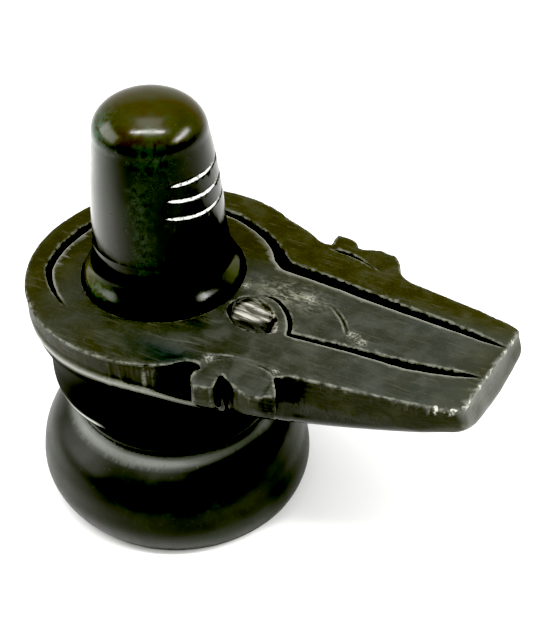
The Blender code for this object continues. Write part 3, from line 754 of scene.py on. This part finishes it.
# ------------------------------------------------------------------ material
class Nodes:
    def __init__(self, mat):
        mat.use_nodes = True
        self.t = mat.node_tree
        self.t.nodes.clear()

    def new(self, kind, **kw):
        n = self.t.nodes.new(kind)
        for k, v in kw.items():
            setattr(n, k, v)
        return n

    def link(self, a, b):
        self.t.links.new(a, b)

    def val(self, sock, v):
        if hasattr(v, "is_linked") or hasattr(v, "links"):
            self.link(v, sock)
        else:
            sock.default_value = v

    def math(self, op, a, b=0.0, clamp=False):
        n = self.new("ShaderNodeMath", operation=op, use_clamp=clamp)
        self.val(n.inputs[0], a)
        self.val(n.inputs[1], b)
        return n.outputs[0]

    def attr(self, name):
        n = self.new("ShaderNodeAttribute", attribute_name=name)
        n.attribute_type = "GEOMETRY"
        return n.outputs["Fac"]

    def noise(self, vec, scale, detail=3.0, rough=0.55, distort=0.0):
        n = self.new("ShaderNodeTexNoise")
        self.link(vec, n.inputs["Vector"])
        n.inputs["Scale"].default_value = scale
        n.inputs["Detail"].default_value = detail
        n.inputs["Roughness"].default_value = rough
        n.inputs["Distortion"].default_value = distort
        return n.outputs["Fac"]

    def remap(self, v, a, b, c=0.0, d=1.0):
        n = self.new("ShaderNodeMapRange")
        n.interpolation_type = "SMOOTHSTEP"
        self.val(n.inputs["Value"], v)
        for k, q in zip(("From Min", "From Max", "To Min", "To Max"), (a, b, c, d)):
            n.inputs[k].default_value = q
        return n.outputs["Result"]

    def mix(self, fac, a, b):
        n = self.new("ShaderNodeMix", data_type="RGBA")
        self.val(n.inputs[0], fac)
        self.val(n.inputs[6], a)
        self.val(n.inputs[7], b)
        return n.outputs[2]

    def mixf(self, fac, a, b):
        n = self.new("ShaderNodeMix", data_type="FLOAT")
        self.val(n.inputs[0], fac)
        self.val(n.inputs[2], a)
        self.val(n.inputs[3], b)
        return n.outputs[0]

    def stretch(self, vec, sx, sy, sz):
        n = self.new("ShaderNodeMapping")
        self.link(vec, n.inputs["Vector"])
        n.inputs["Scale"].default_value = (sx, sy, sz)
        return n.outputs[0]


def rgb(r, g, b):
    return (r, g, b, 1.0)


def stone_material():
    mat = bpy.data.materials.new("carved_dark_stone")
    N_ = Nodes(mat)
    m, mix, mixf = N_.math, N_.mix, N_.mixf
    co = N_.new("ShaderNodeTexCoord").outputs["Object"]
    polish, edge, dent = N_.attr("polish"), N_.attr("edge"), N_.attr("dent")
    groove, pit, lip, chips = N_.attr("groove"), N_.attr("pit"), N_.attr("lip"), N_.attr("chips")
    scrape, scoop, powder = N_.attr("scrape"), N_.attr("scoop"), N_.attr("powder")
    pit_shade, scuff, bead, endface = N_.attr("pit_shade"), N_.attr("scuff"), N_.attr("bead"), N_.attr("endface")
    satin, green, olive = N_.attr("satin"), N_.attr("green"), N_.attr("olive")
    wall, recess_shade = N_.attr("wall"), N_.attr("recess_shade")
    dull_and_shade, lip_glint, rim_light_line, dometop = N_.attr("dull_and_shade"), N_.attr("lip_glint"), N_.attr("rim_light_line"), N_.attr("dometop")
    lit_flank, greyer = N_.attr("lit_flank"), N_.attr("greyer")

    big = N_.noise(co, 55.0, 3.0, 0.55, 0.6)
    mid = N_.noise(co, 190.0, 4.0, 0.6, 0.4)
    fine = N_.noise(co, 900.0, 3.0, 0.6)
    speck = N_.noise(co, 2600.0, 2.0, 0.6)

    # polished stone: black with dark green clouds and grains
    cloud = m("MULTIPLY", N_.remap(big, 0.42, 0.68), N_.remap(mid, 0.35, 0.65))
    pol = mix(cloud, rgb(0.0070, 0.0074, 0.0058), rgb(0.0120, 0.0140, 0.0105))
    pol = mix(m("MULTIPLY", N_.remap(fine, 0.56, 0.74), 0.4), pol, rgb(0.024, 0.030, 0.021))
    pol = mix(m("MULTIPLY", dometop, 0.8), pol, mix(N_.remap(mid, 0.36, 0.66), rgb(0.030, 0.022, 0.006), rgb(0.029, 0.030, 0.011)))
    # green patches: partly the stone's colour, partly painted sheen from the left light
    pol = mix(m("MULTIPLY", green, N_.remap(fine, 0.34, 0.60)), pol, rgb(0.040, 0.074, 0.048))
    # painted shade: the turned stone under the plate coloured near black
    pol = mix(dull_and_shade, pol, rgb(0.0020, 0.0022, 0.0018))
    # painted glint on the bowl's lower roll, on the left
    pol = mix(m("MULTIPLY", lip_glint, 0.9), pol, rgb(0.62, 0.63, 0.60))
    # painted light line along the crease at the top of the foot
    pol = mix(m("MULTIPLY", rim_light_line, 0.75), pol, rgb(0.22, 0.23, 0.21))
    # painted light on the collar's flanks
    pol = mix(m("MULTIPLY", lit_flank, 0.8), pol, mix(N_.remap(mid, 0.36, 0.64), rgb(0.046, 0.042, 0.014), rgb(0.068, 0.074, 0.036)))

    # filed, unpolished stone: grey-olive with brown and green drift
    mat_a = mix(N_.remap(big, 0.35, 0.65), rgb(0.021, 0.021, 0.014), rgb(0.029, 0.031, 0.026))
    mat_a = mix(m("MULTIPLY", olive, 0.8), mat_a, mix(N_.remap(mid, 0.35, 0.65), rgb(0.016, 0.014, 0.004), rgb(0.023, 0.021, 0.007)))
    mat_a = mix(m("MULTIPLY", N_.remap(mid, 0.45, 0.75), 0.4), mat_a, rgb(0.042, 0.042, 0.029))
    mat_a = mix(m("MULTIPLY", greyer, 0.55), mat_a, mix(N_.remap(mid, 0.38, 0.66), rgb(0.024, 0.025, 0.023), rgb(0.044, 0.046, 0.043)))
    lines = N_.noise(N_.stretch(co, 0.12, 1.0, 1.0), 1700.0, 3.0, 0.6, 0.2)
    lines2 = N_.noise(N_.stretch(co, 1.0, 0.16, 1.0), 1500.0, 2.0, 0.55, 0.3)
    mat_a = mix(m("MULTIPLY", N_.remap(lines, 0.52, 0.72), 0.35), mat_a, rgb(0.066, 0.066, 0.050))
    mat_a = mix(m("MULTIPLY", N_.remap(speck, 0.60, 0.75), 0.25), mat_a, rgb(0.10, 0.10, 0.085))
    # lighter where scraped or freshly gouged
    scr = m("MULTIPLY", scrape, N_.remap(N_.noise(N_.stretch(co, 1.0, 2.6, 1.0), 520.0, 4.0, 0.65, 0.8), 0.40, 0.66))
    mat_a = mix(m("MULTIPLY", scr, 0.75), mat_a, rgb(0.20, 0.20, 0.15))
    # painted shade: upright walls darker than the top, the recesses beside the teeth near black
    mat_a = mix(m("MULTIPLY", wall, 0.75), mat_a, mix(N_.remap(mid, 0.40, 0.68), rgb(0.009, 0.009, 0.006), rgb(0.026, 0.026, 0.017)))
    mat_a = mix(m("MULTIPLY", recess_shade, 0.92), mat_a, rgb(0.003, 0.003, 0.002))
    pitc = mix(N_.remap(N_.noise(N_.stretch(co, 0.13, 1.6, 1.0), 900.0, 4.0, 0.65, 0.25), 0.42, 0.62), rgb(0.045, 0.044, 0.034), rgb(0.34, 0.33, 0.29))
    mat_a = mix(pit, mat_a, pitc)
    # painted shade in the deep near part of the gouged hollow
    mat_a = mix(m("MULTIPLY", pit_shade, 0.96), mat_a, rgb(0.004, 0.004, 0.003))
    # painted shade: the shallow hollow by the neck coloured dark bluish
    mat_a = mix(m("MULTIPLY", scoop, 0.6), mat_a, rgb(0.014, 0.019, 0.022))
    mat_a = mix(m("MULTIPLY", scuff, N_.remap(speck, 0.40, 0.62)), mat_a, rgb(0.26, 0.26, 0.22))
    # painted highlight along the rounded lower edge of the plate's wall
    mat_a = mix(m("MULTIPLY", bead, 0.85), mat_a, rgb(0.34, 0.35, 0.31))
    mat_a = mix(m("MULTIPLY", endface, 0.8), mat_a, mix(N_.remap(mid, 0.35, 0.7), rgb(0.032, 0.034, 0.028), rgb(0.050, 0.053, 0.043)))
    # the grooves and the crevice round the collar are painted near black, as painted shade in the cuts
    mat_a = mix(N_.remap(groove, 0.12, 0.5), mat_a, rgb(0.006, 0.005, 0.004))
    col = mix(polish, mat_a, pol)
    # edges: paler on matte stone, white where chipped
    ed = m("MULTIPLY", edge, N_.remap(N_.noise(co, 700.0, 3.0, 0.6), 0.35, 0.62))
    ed = m("MULTIPLY", ed, m("SUBTRACT", 1.0, m("MAXIMUM", pit, m("MULTIPLY", recess_shade, 0.8))))
    col = mix(m("MULTIPLY", m("MULTIPLY", ed, m("SUBTRACT", 1.0, polish)), 0.75), col, rgb(0.15, 0.155, 0.13))
    # painted highlight along the near edge of each groove
    col = mix(m("MULTIPLY", lip, 0.85), col, rgb(0.17, 0.17, 0.15))
    ch = m("MULTIPLY", N_.remap(chips, 0.15, 0.6), N_.remap(N_.noise(co, 1300.0, 3.0, 0.65), 0.42, 0.58))
    col = mix(m("MULTIPLY", ch, 0.8), col, rgb(0.55, 0.55, 0.48))
    # darker in the concave creases of the matte stone
    crease_dark = m("MULTIPLY", dent, m("SUBTRACT", 1.0, polish))
    col = mix(m("MULTIPLY", crease_dark, 0.3), col, rgb(0.012, 0.012, 0.009))
    pw = m("MULTIPLY", N_.remap(powder, 0.10, 0.45), N_.remap(N_.noise(co, 1500.0, 3.0, 0.6), 0.30, 0.55))
    col = mix(pw, col, rgb(0.80, 0.82, 0.78))

    rough_p = m("ADD", 0.18, m("MULTIPLY", N_.remap(mid, 0.40, 0.70), 0.05))
    rough_p = m("ADD", rough_p, m("MULTIPLY", N_.remap(fine, 0.45, 0.70), 0.05))
    rough_p = m("ADD", rough_p, m("MULTIPLY", satin, 0.20))
    rough_p = mixf(dull_and_shade, rough_p, 0.85)
    rough_m = m("ADD", 0.46, m("MULTIPLY", N_.remap(mid, 0.30, 0.70), 0.16))
    rough_m = m("ADD", rough_m, m("MULTIPLY", N_.remap(lines, 0.45, 0.70), 0.10))
    rough_m = mixf(m("MAXIMUM", bead, endface), rough_m, 0.42)
    rough = mixf(polish, rough_m, rough_p)
    rough = mixf(m("MAXIMUM", pw, ch), rough, 0.85)

    height = mixf(polish, m("ADD", m("MULTIPLY", lines, 0.5), m("ADD", m("MULTIPLY", lines2, 0.25), m("MULTIPLY", fine, 0.5))),
                  m("MULTIPLY", mid, 0.12))
    bump = N_.new("ShaderNodeBump")
    bump.inputs["Strength"].default_value = 1.0
    bump.inputs["Distance"].default_value = 0.00010
    N_.link(height, bump.inputs["Height"])

    sh = N_.new("ShaderNodeBsdfPrincipled")
    N_.link(col, sh.inputs["Base Color"])
    N_.link(rough, sh.inputs["Roughness"])
    N_.link(bump.outputs[0], sh.inputs["Normal"])
    sh.inputs["Specular IOR Level"].default_value = 0.42
    out = N_.new("ShaderNodeOutputMaterial")
    N_.link(sh.outputs[0], out.inputs[0])
    return mat


mesh.materials.clear()
mesh.materials.append(stone_material())
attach(stone, "root")
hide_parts("shiva_lingam")


# ------------------------------------------------------------------ floor, light and camera
def floor_material():
    mat = bpy.data.materials.new("pale_floor")
    N_ = Nodes(mat)
    co = N_.new("ShaderNodeTexCoord").outputs["Object"]
    n = N_.noise(co, 30.0, 3.0)
    col = N_.mix(n, rgb(0.80, 0.80, 0.79), rgb(0.82, 0.82, 0.81))
    sh = N_.new("ShaderNodeBsdfPrincipled")
    N_.link(col, sh.inputs["Base Color"])
    sh.inputs["Roughness"].default_value = 0.8
    sh.inputs["Specular IOR Level"].default_value = 0.1
    out = N_.new("ShaderNodeOutputMaterial")
    N_.link(sh.outputs[0], out.inputs[0])
    return mat


bm = bmesh.new()
bmesh.ops.create_grid(bm, x_segments=8, y_segments=8, size=3.0)
fl = bpy.data.meshes.new("floor")
bm.to_mesh(fl)
bm.free()
floor = bpy.data.objects.new("floor", fl)
floor.location = (0, 0, -0.00005)
bpy.context.scene.collection.objects.link(floor)
fl.materials.append(floor_material())


TURN = math.radians(27.4)
ACROSS = Vector((math.cos(TURN), math.sin(TURN), 0.0))      # to the right in the photograph's view
AWAY = Vector((-math.sin(TURN), math.cos(TURN), 0.0))       # away from the camera
UP = Vector((0.0, 0.0, 1.0))


def area(name, right, away, up, aim, size, size_y, radiance, spread=180.0):
    """A rectangular soft light placed along the view's own directions; its long side lies along them."""
    loc = ACROSS * right + AWAY * away + UP * up
    back = (loc - (ACROSS * aim[0] + AWAY * aim[1] + UP * aim[2])).normalized()
    along = ACROSS if abs(back.dot(ACROSS)) < 0.5 else AWAY
    along = (along - back * along.dot(back)).normalized()
    d = bpy.data.lights.new(name, "AREA")
    d.energy = radiance * math.pi * size * size_y
    d.shape = "RECTANGLE"
    d.size, d.size_y = size, size_y
    d.spread = math.radians(spread)
    o = bpy.data.objects.new(name, d)
    o.location = loc
    o.rotation_mode = "QUATERNION"
    o.rotation_quaternion = Matrix((along, back.cross(along), back)).transposed().to_quaternion()
    bpy.context.scene.collection.objects.link(o)
    return o


world = bpy.data.worlds.new("studio")
world.use_nodes = True
W_ = Nodes.__new__(Nodes)
W_.t = world.node_tree
back_node = world.node_tree.nodes["Background"]
back_node.inputs["Color"].default_value = (1.0, 1.0, 1.0, 1.0)
sep = W_.new("ShaderNodeSeparateXYZ")
W_.link(W_.new("ShaderNodeTexCoord").outputs["Generated"], sep.inputs[0])
W_.link(W_.remap(sep.outputs["Z"], 0.62, 0.97, 0.95, 1.6), back_node.inputs["Strength"])
bpy.context.scene.world = world
area("overhead", 0.0, -0.22, 0.72, (0.0, 0.0, 0.09), 0.60, 0.05, 42.0)
area("overhead_soft", 0.0, 0.05, 0.75, (0.0, 0.0, 0.09), 0.34, 0.26, 2.0)
area("right_side", 0.49, -0.12, 0.36, (0.0, 0.0, 0.065), 0.38, 0.08, 20.0)
area("left_side", -0.50, 0.0, 0.30, (0.0, 0.0, 0.06), 0.42, 0.26, 3.8)
# two panels that only light the floor, beside and behind the stone
area("floor_left", -0.17, 0.06, 0.30, (-0.17, 0.06, 0.0), 0.15, 0.30, 1.0, 30.0)
area("floor_right", 0.17, 0.09, 0.30, (0.17, 0.09, 0.0), 0.15, 0.26, 0.2, 30.0)

SCALE = 0.0295958
FOCAL, PITCH, ROLL = 1093.11, 0.7037, -0.0133
SHIFT = Vector((-0.7527, 1.1398, 9.1898))
rr = Matrix(((math.cos(ROLL), -math.sin(ROLL), 0), (math.sin(ROLL), math.cos(ROLL), 0), (0, 0, 1)))
rx = Matrix(((1, 0, 0), (0, -math.sin(PITCH), -math.cos(PITCH)), (0, math.cos(PITCH), -math.sin(PITCH))))
rz = Matrix(((math.cos(TURN), math.sin(TURN), 0), (-math.sin(TURN), math.cos(TURN), 0), (0, 0, 1)))
R = rr @ rx @ rz
cam = bpy.data.cameras.new("camera")
cam.sensor_width = 36.0
cam.lens = FOCAL * 36.0 / 640.0
cam.clip_start, cam.clip_end = 0.01, 20.0
camera = bpy.data.objects.new("camera", cam)
camera.rotation_mode = "QUATERNION"
camera.location = -(R.transposed() @ SHIFT) * SCALE
camera.rotation_quaternion = Matrix((R[0], -R[1], -R[2])).transposed().to_quaternion()
bpy.context.scene.collection.objects.link(camera)
bpy.context.scene.camera = camera

view = bpy.context.scene.view_settings
view.view_transform = "Standard"
view.look = "None"
view.use_curve_mapping = True
view.curve_mapping.black_level = (0.078, 0.077, 0.083)
view.curve_mapping.white_level = (0.91, 0.91, 0.915)
view.curve_mapping.update()
